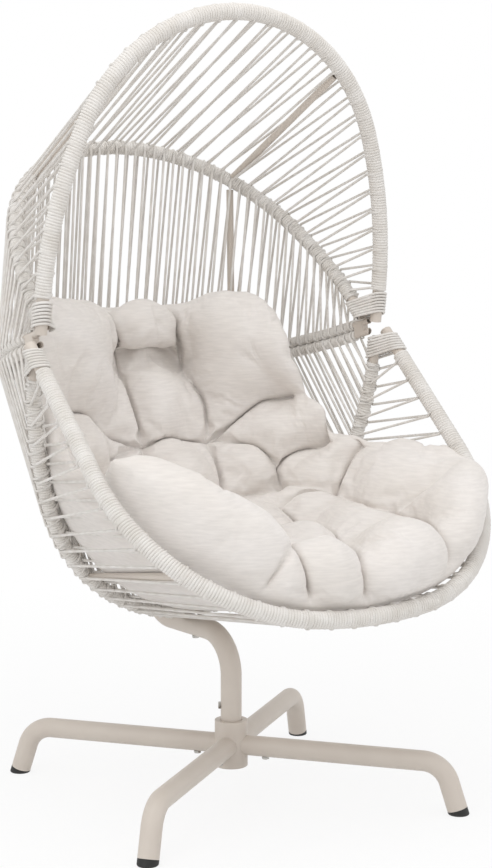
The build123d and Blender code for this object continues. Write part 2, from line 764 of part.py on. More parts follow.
# Cushion: one tufted pad for seat and back, lofted through slices that follow the nets
rim_rest = rim_bound / 2 + cushion_gap
back_rest = hoop_bound / 2 + rope_gap + rope + cushion_gap


def lifted(line, share, heading, gap):
    """Point inside a hoop, square to the net that leaves the hoop with the given heading."""
    return line.position_at(share) + heading.cross(line.tangent_at(share)).normalized() * gap


def cushion_slice(share):
    """Plane of a slice through the cushion, the line of its underside there, and its thickness."""
    inset = min(share, 1 - share) - cushion_from
    fullness = sin(pi / 2 * min(1.0, inset / cushion_taper))
    thickness = cushion_edge + (cushion_thick - cushion_edge) * fullness
    rise = cushion_rise_edge + (cushion_rise - cushion_rise_edge) * fullness
    seat_heading = lower_line.position_at(share) - basket_rim_line.position_at(share)
    back_heading = basket_rail_line.position_at(share) - lower_line.position_at(share)
    front = lifted(basket_rim_line, share, seat_heading, rim_rest)
    crease = lifted(lower_line, share, back_heading, back_rest)
    back = lifted(basket_rail_line, share, back_heading, back_rest)
    plane = Plane(origin=crease, x_dir=front - crease, z_dir=(front - crease).cross(back - crease))
    hood_heading = arch_line.position_at(share) - hood_rail_line.position_at(share)
    up = Vector(hood_heading.dot(plane.x_dir), hood_heading.dot(plane.y_dir)).normalized()
    up = up.rotate(Axis.Z, -cushion_lean)
    back = plane.to_local_coords(back)
    bend = back - back.normalized() * (cushion_early * (1 - fullness))
    bend_run = (thickness + cushion_bend) * tan(radians(up.get_angle(bend)) / 2)
    top = bend + up * (bend_run + rise)
    with BuildLine() as underside:
        FilletPolyline(
            ((front - crease).length + cushion_front, 0),
            (0, 0),
            (bend.X, bend.Y),
            (top.X, top.Y),
            radius=thickness + cushion_bend,
        )
    return plane, underside.wire(), thickness


def square_to(heading):
    """Unit vector in a slice's plane, from the underside to the tufted side."""
    return Vector(heading.Y, -heading.X).normalized()


with BuildPart() as cushion:
    for number, share in enumerate(shares(cushion_from, cushion_slices)):
        column = abs(number - cushion_slices // 2)
        plane, underside, thickness = cushion_slice(share)
        scale = thickness / cushion_thick
        end_round = thickness * cushion_round
        end_share = end_round / underside.length
        rows = [
            (end_share, knee_ties, edge_depth, 0.0),
            (front_row, knee_ties, tuft_depth, crease_depth),
            (seat_row, side_ties, tuft_depth, crease_depth),
            (rear_row, hip_ties, tuft_depth, crease_depth),
            (lower_row, back_ties, tuft_depth, crease_depth),
            (upper_row, back_ties, tuft_depth, crease_depth if column < max(back_ties) else 0.0),
            (1 - end_share, back_ties, edge_depth, 0.0),
        ]
        valleys = []
        for row, ties, tied, untied in rows:
            tuft = column in ties
            sunk = (tied if tuft else untied) * scale
            place = underside.position_at(row) + square_to(underside.tangent_at(row)) * (thickness - sunk)
            valleys.append((place, sunk, tuft))
        rest = underside.trim(end_share, 1 - end_share)
        front_end = valleys[0][0]
        top_end = valleys[-1][0]
        with BuildSketch(plane):
            with BuildLine():
                add(rest)
                ThreePointArc(rest @ 0, (rest @ 0 + front_end) / 2 - rest % 0 * end_round, front_end)
                for (start, sunk, tuft), (end, next_sunk, next_tuft) in zip(valleys, valleys[1:]):
                    rise = lobe_rise * scale + min(sunk, next_sunk)
                    if tuft and next_tuft:
                        rise *= seam_rise
                    ThreePointArc(start, (start + end) / 2 + square_to(end - start) * rise, end)
                ThreePointArc(top_end, (rest @ 1 + top_end) / 2 + rest % 1 * end_round, rest @ 1)
            make_face()
    loft()
save(cushion.part, "cushion")
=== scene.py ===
import bmesh
import bpy
import numpy as np
from math import cos, pi, radians, sin
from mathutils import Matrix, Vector


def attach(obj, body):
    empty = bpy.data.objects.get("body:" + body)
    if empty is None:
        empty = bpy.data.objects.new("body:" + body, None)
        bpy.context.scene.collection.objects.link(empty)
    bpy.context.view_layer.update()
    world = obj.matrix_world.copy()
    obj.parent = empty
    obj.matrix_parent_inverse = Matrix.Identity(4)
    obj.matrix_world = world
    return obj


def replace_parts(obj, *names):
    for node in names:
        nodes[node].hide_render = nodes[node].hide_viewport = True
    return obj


# Swivel garden armchair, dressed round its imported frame. Metres, +Z up, the sitter faces -Y.
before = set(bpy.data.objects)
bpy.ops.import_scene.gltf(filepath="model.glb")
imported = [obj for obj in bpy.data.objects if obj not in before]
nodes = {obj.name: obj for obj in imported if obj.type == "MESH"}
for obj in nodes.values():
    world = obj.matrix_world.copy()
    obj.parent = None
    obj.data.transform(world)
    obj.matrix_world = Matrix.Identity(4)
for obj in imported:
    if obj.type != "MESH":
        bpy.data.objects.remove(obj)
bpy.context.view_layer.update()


# Steel: the base, post, spine, hoops and ribs, cut and bent from tube, welded, and coated with beige
# powder that is baked on. The coat is even and satin, with the faint dimpling of powder that flowed.
def linear(code):
    """An sRGB hex colour as the linear colour that a shader takes."""
    shares = [int(code[place : place + 2], 16) / 255 for place in (1, 3, 5)]
    return tuple(s / 12.92 if s <= 0.04045 else ((s + 0.055) / 1.055) ** 2.4 for s in shares) + (1.0,)


def add_node(tree, kind, inputs=None, steps=(), **settings):
    """One shader node with its settings, its inputs as values or as links, and a ramp's colour steps."""
    made = tree.nodes.new(kind)
    for name, value in settings.items():
        setattr(made, name, value)
    for name, value in (inputs or {}).items():
        if isinstance(value, bpy.types.NodeSocket):
            tree.links.new(value, made.inputs[name])
        else:
            made.inputs[name].default_value = value
    for number, (place, code) in enumerate(steps):
        made.color_ramp.elements[number].position = place
        made.color_ramp.elements[number].color = linear(code)
    return made


def new_material(name):
    """An empty material: itself, its node tree and its principled shader."""
    material = bpy.data.materials.new(name)
    material.use_nodes = True
    return material, material.node_tree, material.node_tree.nodes["Principled BSDF"]


def make_powder_coat():
    dimple_size = 0.0016
    cloud_size = 0.09
    material, tree, surface = new_material("beige_powder_coat")
    place = add_node(tree, "ShaderNodeTexCoord").outputs["Object"]
    cloud = add_node(
        tree,
        "ShaderNodeTexNoise",
        {"Vector": place, "Scale": 1 / cloud_size, "Detail": 3.0},
    )
    dimple = add_node(
        tree,
        "ShaderNodeTexNoise",
        {"Vector": place, "Scale": 1 / dimple_size, "Detail": 1.0},
    )
    tone = add_node(
        tree,
        "ShaderNodeValToRGB",
        {"Fac": cloud.outputs["Fac"]},
        steps=((0.3, "#CBC1B7"), (0.7, "#D1C8BE")),
    )
    gloss = add_node(
        tree,
        "ShaderNodeMapRange",
        {"Value": cloud.outputs["Fac"], "To Min": 0.40, "To Max": 0.52},
    )
    relief = add_node(
        tree,
        "ShaderNodeBump",
        {"Height": dimple.outputs["Fac"], "Strength": 0.06, "Distance": dimple_size / 4},
    )
    tree.links.new(tone.outputs["Color"], surface.inputs["Base Color"])
    tree.links.new(gloss.outputs["Result"], surface.inputs["Roughness"])
    tree.links.new(relief.outputs["Normal"], surface.inputs["Normal"])
    return material


def paint(material, *names):
    """Gives CAD nodes their finish."""
    for name in names:
        for slot in nodes[name].material_slots:
            slot.material = material


powder_coat = make_powder_coat()
paint(powder_coat, "hub", "hub_collar", "hub_cap", "swivel_post", "seat_spine", "rail_spacers")
paint(powder_coat, *[f"leg_{number}" for number in range(1, 5)])
paint(powder_coat, "hood_rim", "rear_arch", "hood_rail", "basket_rail", "lower_hoop", "basket_rim")
for rib in ("roof_rib", "hood_back_rib", "basket_back_rib", "seat_rib"):
    paint(powder_coat, f"{rib}_left", f"{rib}_right")


# Foot plugs: black polyethylene, moulded and pushed into the leg ends. They are matt and a little
# scuffed where they meet the floor.
def make_foot_plastic():
    grain_size = 0.0008
    scuff_height = 0.004
    material, tree, surface = new_material("black_polyethylene")
    place = add_node(tree, "ShaderNodeTexCoord").outputs["Object"]
    grain = add_node(tree, "ShaderNodeTexNoise", {"Vector": place, "Scale": 1 / grain_size})
    height = add_node(tree, "ShaderNodeSeparateXYZ", {"Vector": place}).outputs["Z"]
    scuff = add_node(tree, "ShaderNodeMapRange", {"Value": height, "From Max": scuff_height})
    tone = add_node(
        tree,
        "ShaderNodeValToRGB",
        {"Fac": scuff.outputs["Result"]},
        steps=((0.0, "#3A3835"), (1.0, "#1B1A19")),
    )
    relief = add_node(
        tree,
        "ShaderNodeBump",
        {"Height": grain.outputs["Fac"], "Strength": 0.25, "Distance": grain_size / 4},
    )
    surface.inputs["Roughness"].default_value = 0.55
    tree.links.new(tone.outputs["Color"], surface.inputs["Base Color"])
    tree.links.new(relief.outputs["Normal"], surface.inputs["Normal"])
    return material


paint(make_foot_plastic(), *[f"foot_plug_{number}" for number in range(1, 5)])


# Swivel bearing: bushes and washer of white acetal, turned, with fine lathe rings.
# The steel spindle turns in them inside the hub, and only their edges can show.
def make_acetal():
    ring_step = 0.0006
    rings_per_unit = 3  # about what the wave texture draws at scale 1
    material, tree, surface = new_material("turned_acetal")
    place = add_node(tree, "ShaderNodeTexCoord").outputs["Object"]
    rings = add_node(
        tree,
        "ShaderNodeTexWave",
        {"Vector": place, "Scale": 1 / ring_step / rings_per_unit},
        wave_type="RINGS",
        rings_direction="Z",
    )
    relief = add_node(
        tree,
        "ShaderNodeBump",
        {"Height": rings.outputs["Fac"], "Strength": 0.15, "Distance": ring_step / 4},
    )
    tone = add_node(
        tree,
        "ShaderNodeValToRGB",
        {"Fac": rings.outputs["Fac"]},
        steps=((0.0, "#DAD8D2"), (1.0, "#E4E2DD")),
    )
    surface.inputs["Roughness"].default_value = 0.42
    tree.links.new(tone.outputs["Color"], surface.inputs["Base Color"])
    tree.links.new(relief.outputs["Normal"], surface.inputs["Normal"])
    return material


paint(make_acetal(), "lower_bush", "upper_bush", "thrust_washer")


# Fasteners and spindle: bright zinc-plated steel. The plating is clear and slightly cloudy,
# with a little dull bloom where the parts were handled.
def make_zinc():
    bloom_size = 0.004
    material, tree, surface = new_material("zinc_plated_steel")
    place = add_node(tree, "ShaderNodeTexCoord").outputs["Object"]
    bloom = add_node(
        tree,
        "ShaderNodeTexNoise",
        {"Vector": place, "Scale": 1 / bloom_size, "Detail": 4.0},
    )
    tone = add_node(
        tree,
        "ShaderNodeValToRGB",
        {"Fac": bloom.outputs["Fac"]},
        steps=((0.35, "#A9A6A0"), (0.65, "#C9C7C3")),
    )
    gloss = add_node(
        tree,
        "ShaderNodeMapRange",
        {"Value": bloom.outputs["Fac"], "To Min": 0.28, "To Max": 0.45},
    )
    surface.inputs["Metallic"].default_value = 1.0
    tree.links.new(tone.outputs["Color"], surface.inputs["Base Color"])
    tree.links.new(gloss.outputs["Result"], surface.inputs["Roughness"])
    return material


zinc = make_zinc()
paint(zinc, "leg_bolts", "leg_nuts", "spindle", "spindle_washer", "spindle_screw")
paint(zinc, "post_screw", "spine_screw", "spine_nut", "rail_bolts", "rail_nuts")


# Bindings: each hoop is wound from end to end with one long olefin rope, turn against turn.
# The rope is braided from fine off-white yarn, so its turns are round, soft-edged and matt.
rope_width = 0.0055
wound_width = 0.0064  # of the rope in a binding, where each turn is pressed wide
turn_pitch = 0.0056  # from one turn of a binding to the next
turn_steps = 16  # points in one turn
bedding = 0.0011  # how far the rope is pressed flat against the tube
binding_wall = 0.004  # from the tube to the outside of a binding
waver = 0.012  # share by which a turn's radius wavers from point to point
waver_step = 0.61  # radians
drift = 0.008  # share by which the radius drifts, more slowly, along the hoop
drift_step = 0.173
junction = Vector((0, 0.0445, 0.9255))  # on the middle plane, between the two side corners


def make_rope():
    braid_step = 0.006  # length of one braid crossing, along the rope
    braid_yarns = 4  # crossings round the rope
    braid_height = 0.0006
    cloud_size = 0.035
    material, tree, surface = new_material("braided_olefin_rope")
    lay = add_node(tree, "ShaderNodeUVMap").outputs["UV"]
    place = add_node(tree, "ShaderNodeTexCoord").outputs["Object"]
    split = add_node(tree, "ShaderNodeSeparateXYZ", {"Vector": lay})
    along = add_node(
        tree,
        "ShaderNodeMath",
        {0: split.outputs["X"], 1: 2 * pi / braid_step},
        operation="MULTIPLY",
    )
    around = add_node(
        tree,
        "ShaderNodeMath",
        {0: split.outputs["Y"], 1: 2 * pi * braid_yarns},
        operation="MULTIPLY",
    )
    yarns = []
    for way in ("ADD", "SUBTRACT"):
        crossing = add_node(
            tree,
            "ShaderNodeMath",
            {0: along.outputs[0], 1: around.outputs[0]},
            operation=way,
        )
        yarns.append(add_node(tree, "ShaderNodeMath", {0: crossing.outputs[0]}, operation="SINE"))
    braid = add_node(
        tree,
        "ShaderNodeMath",
        {0: yarns[0].outputs[0], 1: yarns[1].outputs[0]},
        operation="MULTIPLY",
    )
    level = add_node(tree, "ShaderNodeMapRange", {"Value": braid.outputs[0], "From Min": -1.0})
    cloud = add_node(
        tree,
        "ShaderNodeTexNoise",
        {"Vector": place, "Scale": 1 / cloud_size, "Detail": 4.0},
    )
    # The yarn's colour, painted darker in the braid's hollows and lighter on its crossings: painted shade
    # that follows the braid's relief.
    yarn_and_hollow_shade = add_node(
        tree,
        "ShaderNodeValToRGB",
        {"Fac": level.outputs["Result"]},
        steps=((0.0, "#DCD8D4"), (0.6, "#E6E3DF")),
    )
    shade = add_node(
        tree,
        "ShaderNodeValToRGB",
        {"Fac": cloud.outputs["Fac"]},
        steps=((0.3, "#F1EFEC"), (0.7, "#FFFFFF")),
    )
    tone = add_node(
        tree,
        "ShaderNodeMix",
        {"Factor": 1.0, 6: yarn_and_hollow_shade.outputs["Color"], 7: shade.outputs["Color"]},
        data_type="RGBA",
        blend_type="MULTIPLY",
    )
    relief = add_node(
        tree,
        "ShaderNodeBump",
        {"Height": level.outputs["Result"], "Strength": 0.5, "Distance": braid_height},
    )
    surface.inputs["Roughness"].default_value = 0.85
    surface.inputs["Sheen Weight"].default_value = 0.15
    tree.links.new(tone.outputs[2], surface.inputs["Base Color"])
    tree.links.new(relief.outputs["Normal"], surface.inputs["Normal"])
    return material


class Hoop:
    """A bent hoop of tube in a plane through the side corners: straight sides, side arcs, crown arc.
    half is half its width, reach is corner to crown, and straight is the length of a straight side.
    In degrees, turn is a side arc's angle, and lean is the plane's slope from +Y upwards.
    lift moves the plane square to itself, and drop moves it straight down."""

    def __init__(self, tube, half, reach, straight, turn, lean, lift=0.0, drop=0.0):
        angle = radians(turn)
        rise = reach - straight
        scale = (1 - cos(angle)) * (1 - sin(angle)) - sin(angle) * cos(angle)
        side = (half * (1 - sin(angle)) - rise * cos(angle)) / scale
        crown = (rise * (1 - cos(angle)) - half * sin(angle)) / scale
        self.tube = tube
        self.bound = tube + 2 * binding_wall
        self.half = half
        self.up = Vector((0, cos(radians(lean)), sin(radians(lean))))
        self.normal = Vector((0, -sin(radians(lean)), cos(radians(lean))))
        self.origin = junction + self.normal * lift - Vector((0, 0, drop))
        self.stretches = [
            (straight, 0.0),
            (side * angle, side),
            (crown * (pi - 2 * angle), crown),
            (side * angle, side),
            (straight, 0.0),
        ]
        self.length = sum(length for length, radius in self.stretches)

    def at(self, run):
        """The point at that length along the hoop, and the tangent there."""
        across, rise, heading = self.half, 0.0, pi / 2
        for length, radius in self.stretches:
            step = min(run, length)
            if radius > 0:
                across += radius * (sin(heading + step / radius) - sin(heading))
                rise += radius * (cos(heading) - cos(heading + step / radius))
                heading += step / radius
            else:
                across += step * cos(heading)
                rise += step * sin(heading)
            run -= step
        point = self.origin + Vector((across, 0, 0)) + self.up * rise
        tangent = Vector((cos(heading), 0, 0)) + self.up * sin(heading)
        return point, tangent

    def share(self, part):
        """The point at a share of the hoop's length, and the tangent there."""
        return self.at(self.length * part)


def rope_piece(name, strands, width):
    """Rope along strands of points, as a mesh whose UV map runs in metres along the rope."""
    curve = bpy.data.curves.new(name, "CURVE")
    curve.dimensions = "3D"
    curve.bevel_depth = width / 2
    curve.bevel_resolution = 2
    curve.use_fill_caps = True
    lengths = []
    for points in strands:
        spline = curve.splines.new("POLY")
        spline.points.add(len(points) - 1)
        spline.points.foreach_set("co", [value for point in points for value in (*point, 1.0)])
        lengths.append(sum((b - a).length for a, b in zip(points, points[1:])))
    drawn = bpy.data.objects.new(name, curve)
    bpy.context.scene.collection.objects.link(drawn)
    bpy.context.view_layer.update()
    mesh = bpy.data.meshes.new_from_object(drawn.evaluated_get(bpy.context.evaluated_depsgraph_get()))
    bpy.data.objects.remove(drawn)
    mesh.name = name
    mesh.shade_smooth()
    places = np.zeros(2 * len(mesh.loops), np.float32)
    layer = mesh.uv_layers[0].data
    layer.foreach_get("uv", places)
    places[0::2] *= np.mean(lengths)
    layer.foreach_set("uv", places)
    piece = bpy.data.objects.new(name, mesh)
    bpy.context.scene.collection.objects.link(piece)
    mesh.materials.clear()
    mesh.materials.append(rope)
    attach(piece, "seat")
    return piece


def wound_turns(hoop, start, end):
    """Points of a rope wound round a hoop between two lengths along it, turn against turn."""
    radius = hoop.tube / 2 + rope_width / 2 - bedding - (wound_width - rope_width) / 2
    count = round((end - start) / turn_pitch) * turn_steps
    points = []
    for number in range(count + 1):
        point, tangent = hoop.at(start + (end - start) * number / count)
        angle = 2 * pi * number / turn_steps
        slack = 1 + waver * sin(number * waver_step) + drift * sin(number * drift_step)
        outward = tangent.cross(hoop.normal) * cos(angle) + hoop.normal * sin(angle)
        points.append(point + outward * radius * slack)
    return points


rope = make_rope()
rail_lift = 0.01115  # from the middle between the rails to each rail
hood_rim = Hoop(0.024, half=0.400, reach=0.617, straight=0.057, turn=22, lean=98)
rear_arch = Hoop(0.020, half=0.380, reach=0.524, straight=0.050, turn=22, lean=44.7)
hood_rail = Hoop(0.014, half=0.395, reach=0.444, straight=0.063, turn=45, lean=-14.7, lift=rail_lift)
basket_rail = Hoop(0.014, half=0.395, reach=0.444, straight=0.063, turn=45, lean=-14.7, lift=-rail_lift)
lower_hoop = Hoop(0.020, half=0.408, reach=0.583, straight=0.045, turn=23, lean=-80.4)
basket_rim = Hoop(0.024, half=0.425, reach=0.690, straight=0.327, turn=81, lean=-135.8, drop=0.0094)

lashed_end = 0.074  # left unwound under a lashing
bare_end = 0.060  # left bare at a rail's bolted end
spine_gap = 0.027  # left unwound each side of the spine's weld
lower_shift = 0.008  # the lower hoop's lashing lies this much further along it
bindings = [
    ("hood_rim_binding", hood_rim, lashed_end),
    ("rear_arch_binding", rear_arch, lashed_end),
    ("hood_rail_binding", hood_rail, bare_end),
    ("basket_rail_binding", basket_rail, bare_end),
    ("basket_rim_binding", basket_rim, lashed_end),
]
for name, hoop, bare in bindings:
    piece = rope_piece(name + "_rope", [wound_turns(hoop, bare, hoop.length - bare)], wound_width)
    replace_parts(piece, name)
lower_bare = lashed_end + lower_shift
lower_half = lower_hoop.length / 2 - spine_gap
piece = rope_piece(
    "lower_hoop_binding_rope",
    [
        wound_turns(lower_hoop, lower_bare, lower_half),
        wound_turns(lower_hoop, lower_half + 2 * spine_gap, lower_hoop.length - lower_bare),
    ],
    wound_width,
)
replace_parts(piece, "lower_hoop_binding")


# Nets: one rope strung to and fro between two hoops, drawn tight and turned round each hoop.
# The roof and the seat have a single layer of cords in pairs, the back two layers.
wrap_steps = 10  # points in the turn round a hoop
pair_step = 0.0065  # between the two cords of a pair
pair_depth = 0.0054  # how far a pair's turn beds into the binding behind the hoop
layer_depth = 0.0032  # the same in two layers
pair_angle = radians(40)  # where a pair's cords touch a hoop, from the way to the other hoop
layer_angle = radians(90)
trial_steps = 24  # at which a cord is tried against a bar


def even_shares(first, count):
    """Even shares of a hoop's length, as far from one end as from the other."""
    return [first + (1 - 2 * first) * number / (count - 1) for number in range(count)]


def turned(hoop, arrive, leave, beyond, angle, sidestep, depth):
    """Points of a rope that comes to a hoop on one side, goes round behind it and leaves on the other."""
    points = []
    for number in range(wrap_steps + 1):
        part = number / wrap_steps
        point, tangent = hoop.share(arrive + (leave - arrive) * part)
        towards = beyond - point
        ahead = (towards - tangent * towards.dot(tangent)).normalized()
        swing = angle + (2 * pi - 2 * angle) * part
        outward = ahead * cos(swing) + tangent.cross(ahead) * sin(swing)
        sunk = depth * sin(pi * part)
        radius = (hoop.bound + rope_width) / 2 - sunk
        points.append(point + tangent * sidestep * (part - 0.5) + outward * radius)
    return points


def clears(start, end, bars, room):
    """Whether a straight cord passes every bar with that room from axis to axis."""
    for foot, head in bars:
        for number in range(trial_steps + 1):
            point = start.lerp(end, number / trial_steps)
            part = min(1, max(0, (point - foot).dot(head - foot) / (head - foot).length_squared))
            if (point - foot.lerp(head, part)).length < room:
                return False
    return True


def strung(upper, tops, lower, feet, angle, sidestep, depth, bars=(), room=0.0):
    """Strands of a rope that goes up and down between two hoops, parted where a bar is in its way."""
    turns = []
    for number, (arrive, leave) in enumerate(feet):
        beyond = upper.share(tops[min(number, len(tops) - 1)][0])[0]
        turns.append(turned(lower, arrive, leave, beyond, angle, sidestep, depth))
        if number < len(tops):
            beyond = lower.share(leave)[0]
            turns.append(turned(upper, *tops[number], beyond, angle, sidestep, depth))
    strands = [list(turns[0])]
    for turn in turns[1:]:
        if clears(strands[-1][-1], turn[0], bars, room):
            strands[-1].extend(turn)
        else:
            strands.append(list(turn))
    return strands


def paired(upper, upper_from, lower, lower_from, count, bars, room):
    """A single layer of cords that turn in pairs at both hoops."""
    tops = [(share, share) for share in even_shares(upper_from, count)]
    feet = [(share, share) for share in even_shares(lower_from, count + 1)]
    return strung(upper, tops, lower, feet, pair_angle, pair_step, pair_depth, bars, room)


def layered(upper, upper_from, lower, lower_from, count, bars=(), room=0.0):
    """Two layers of cords, one before the hoops and one behind, half a step apart at the lower hoop."""
    tops = [(share, share) for share in even_shares(upper_from, count)]
    marks = even_shares(lower_from, 2 * count)
    marks = [marks[0]] + marks + [marks[-1]]
    feet = list(zip(marks[0::2], marks[1::2]))
    return strung(upper, tops, lower, feet, layer_angle, 0.0, layer_depth, bars, room)


def rib_axes(upper, upper_share, lower, lower_share):
    """Axes of the left and right rib between two hoops."""
    sides = [(upper_share, lower_share), (1 - upper_share, 1 - lower_share)]
    return [(upper.share(top)[0], lower.share(foot)[0]) for top, foot in sides]


rib_room = 0.0106  # rope axis to rib axis
spine_room = 0.0241
spine_axis = (Vector((0, 0.262, 0.3194)), Vector((0, 0.500, 0.783)))
roof_ribs = rib_axes(hood_rim, 0.335, rear_arch, 0.318)
seat_ribs = rib_axes(basket_rim, 0.30, lower_hoop, 0.327)

# Each net: its two hoops, each with its share of length at the first cord, and the count of turns
nets = {
    "roof_cords": paired(hood_rim, 0.048, rear_arch, 0.056, 38, roof_ribs, rib_room),
    "hood_back_cords": layered(rear_arch, 0.06, hood_rail, 0.05, 56),
    "basket_back_cords": layered(basket_rail, 0.05, lower_hoop, 0.06, 56, [spine_axis], spine_room),
    "seat_cords": paired(basket_rim, 0.045, lower_hoop, 0.056, 37, seat_ribs, rib_room),
}
for name, strands in nets.items():
    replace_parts(rope_piece(name + "_rope", strands, rope_width), name)


# Lashings: at each side corner the same rope is wound round both tube ends, to bind hood rim to arch
# and basket rim to lower hoop. The turns lie side by side over the unwound ends.
lashing_turns = 7
lashing_from = 0.0202  # corner to the first turn, along the middle between the two tubes
lashing_pitch = 0.0058
lashing_steps = 24  # points in one turn
lashing_room = 0.0006  # between the tubes and the rope
rim_corner = -0.0019  # along the basket rim, from its end to where the two tubes' lines meet
lower_corner = 0.0081  # the same along the lower hoop


def lashed(first, first_start, second, second_start, side):
    """Points of a rope wound round two hoops where they leave a corner."""
    middle = (first.up + second.up).normalized()
    lean = middle.dot(first.up)
    radius = first.tube / 2 / lean + rope_width / 2 + lashing_room
    points = []
    for number in range(lashing_turns * lashing_steps + 1):
        run = (lashing_from + lashing_pitch * (number / lashing_steps - 0.5)) / lean
        start = first.origin + Vector((side * first.half, 0, 0)) + first.up * (first_start + run)
        end = second.origin + Vector((side * second.half, 0, 0)) + second.up * (second_start + run)
        across = (end - start).normalized()
        square = across.cross(middle).normalized()
        angle = 2 * pi * number / lashing_steps
        anchor = start if cos(angle) < 0 else end
        points.append(anchor + (across * cos(angle) + square * sin(angle)) * radius)
    return points


for name, corner in {
    "hood_lashings": (hood_rim, 0.0, rear_arch, 0.0),
    "basket_lashings": (basket_rim, rim_corner, lower_hoop, lower_corner),
}.items():
    loops = [lashed(*corner, side) for side in (1, -1)]
    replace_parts(rope_piece(name + "_rope", loops, rope_width), name)


# Cushion: one loose pad for seat and back, a linen-look polyester cover filled with fibre.
# Thread ties pull it in at tufts, and the cover folds into deep creases between them.
weld_gap = 0.00001  # between mesh points that are one
pad_grain = 0.006  # size of a mesh face before the last division
edge_room = 0.008  # fullness that keeps the pad's thin edge whole
tiny = 1e-9  # keeps a division off zero
tie_depth = 0.042
tie_width = 0.022
crease_depth = 0.034
crease_width = 0.080  # from a crease to where the lobe is full
crease_step = 0.012  # between the points of a crease
crease_easing = 6  # rounds that ease a crease's corners
upper_bow = 0.045  # how far the crease between the upper tufts bows upwards
lower_bow = 0.015
core_depth = 0.012  # of the narrow fold at a crease's foot
core_width = 0.007
stitch_width = 0.009  # held beside a crease while the lobes swell
lobe_close = 0.007  # how far a lobe's side leans over the crease
close_gap = 0.015  # from a crease to where its lobes lean over most
lobe_rise = 0.010
filling_pressure = 4.0
cover_ease = 0.04  # share by which the cover is larger than the filling
swell_limit = 0.022
swell_moments = 20  # steps of the simulation
calm_sides = (0.28, 0.34)  # from the chair's middle, to where smoothing starts and where it is full
tie_hold = 0.6  # share by which the ties keep the cover from being drawn smooth
sitter = Vector((0, -0.65, 0.98))  # a point that the pad's upper side and front face
facing_range = (-0.45, 0.05)  # cosine of the angle to the sitter, for the underside and for the upper side


# The cover is a plain weave of uneven yarn: matt, with a faint sheen and short streaks of thick thread
def make_linen():
    thread_step = 0.0014
    bands_per_unit = 3.1  # about what the wave texture draws at scale 1
    slub_length = 0.030  # thick stretches of thread, drawn coarser than real so that they show
    slub_width = 0.004
    slub_height = 0.001
    cloud_size = 0.16
    material, tree, surface = new_material("linen_look_polyester")
    place = add_node(tree, "ShaderNodeTexCoord").outputs["Object"]
    threads = []
    for way in ("X", "Z"):
        bands = add_node(
            tree,
            "ShaderNodeTexWave",
            {
                "Vector": place,
                "Scale": 1 / thread_step / bands_per_unit,
                "Distortion": 1.5,
                "Detail": 1.0,
            },
            bands_direction=way,
        )
        threads.append(bands.outputs["Fac"])
    weave = add_node(tree, "ShaderNodeMath", {0: threads[0], 1: threads[1]}, operation="ADD")
    drawn_out = add_node(
        tree,
        "ShaderNodeMapping",
        {"Vector": place, "Scale": (1 / slub_length, 1 / slub_length, 1 / slub_width)},
    )
    slub = add_node(
        tree,
        "ShaderNodeTexNoise",
        {"Vector": drawn_out.outputs["Vector"], "Scale": 1.0, "Detail": 4.0},
    )
    cloud = add_node(
        tree,
        "ShaderNodeTexNoise",
        {"Vector": place, "Scale": 1 / cloud_size, "Detail": 2.0},
    )
    tone = add_node(
        tree,
        "ShaderNodeValToRGB",
        {"Fac": slub.outputs["Fac"]},
        steps=((0.3, "#DED9D5"), (0.7, "#E8E3DF")),
    )
    shade = add_node(
        tree,
        "ShaderNodeValToRGB",
        {"Fac": cloud.outputs["Fac"]},
        steps=((0.3, "#F9F8F6"), (0.7, "#FFFFFF")),
    )
    mixed = add_node(
        tree,
        "ShaderNodeMix",
        {"Factor": 1.0, 6: tone.outputs["Color"], 7: shade.outputs["Color"]},
        data_type="RGBA",
        blend_type="MULTIPLY",
    )
    relief = add_node(
        tree,
        "ShaderNodeBump",
        {"Height": weave.outputs[0], "Strength": 0.12, "Distance": thread_step / 4},
    )
    soft = add_node(
        tree,
        "ShaderNodeBump",
        {
            "Height": slub.outputs["Fac"],
            "Strength": 0.15,
            "Distance": slub_height,
            "Normal": relief.outputs["Normal"],
        },
    )
    surface.inputs["Roughness"].default_value = 0.9
    surface.inputs["Sheen Weight"].default_value = 0.2
    tree.links.new(mixed.outputs[2], surface.inputs["Base Color"])
    tree.links.new(soft.outputs["Normal"], surface.inputs["Normal"])
    return material


# Tufts, and the places that creases pass or run out at. They lie on the sitter's left, apart from
# the three far ones, which lie nearer to the middle than a mirrored place would
upper_back = Vector((0.105, 0.335, 0.835))
lower_back = Vector((0.110, 0.240, 0.685))
seat_rear = Vector((0.095, 0.160, 0.570))
hip = Vector((0.205, 0.115, 0.590))
side = Vector((0.265, 0.000, 0.595))
knee = Vector((0.260, -0.180, 0.580))
crown = Vector((0.090, 0.315, 0.910))
crown_edge = Vector((0.100, 0.330, 0.950))
crown_back = Vector((0.095, 0.380, 0.975))
middle_back = Vector((0.125, 0.270, 0.760))
far_upper_back = Vector((-0.045, 0.345, 0.850))
far_middle_back = Vector((-0.045, 0.290, 0.765))
far_lower_back = Vector((-0.045, 0.245, 0.680))
loin = Vector((0.110, 0.195, 0.625))
blade = Vector((0.175, 0.220, 0.730))
shoulder = Vector((0.220, 0.195, 0.765))
shoulder_side = Vector((0.270, 0.165, 0.770))
shoulder_edge = Vector((0.330, 0.140, 0.785))
flank = Vector((0.185, 0.180, 0.685))
flank_foot = Vector((0.210, 0.140, 0.640))
hip_side = Vector((0.210, 0.125, 0.645))
hip_rise = Vector((0.275, 0.075, 0.690))
hip_edge = Vector((0.345, 0.050, 0.735))
hip_over = Vector((0.395, 0.050, 0.720))
side_rise = Vector((0.315, 0.015, 0.665))
side_edge = Vector((0.375, -0.030, 0.725))
arm = Vector((0.310, -0.225, 0.625))
knee_side = Vector((0.255, -0.265, 0.575))
knee_ridge = Vector((0.200, -0.395, 0.570))
knee_front = Vector((0.205, -0.420, 0.550))
knee_edge = Vector((0.210, -0.430, 0.500))
thigh = Vector((0.245, -0.140, 0.575))

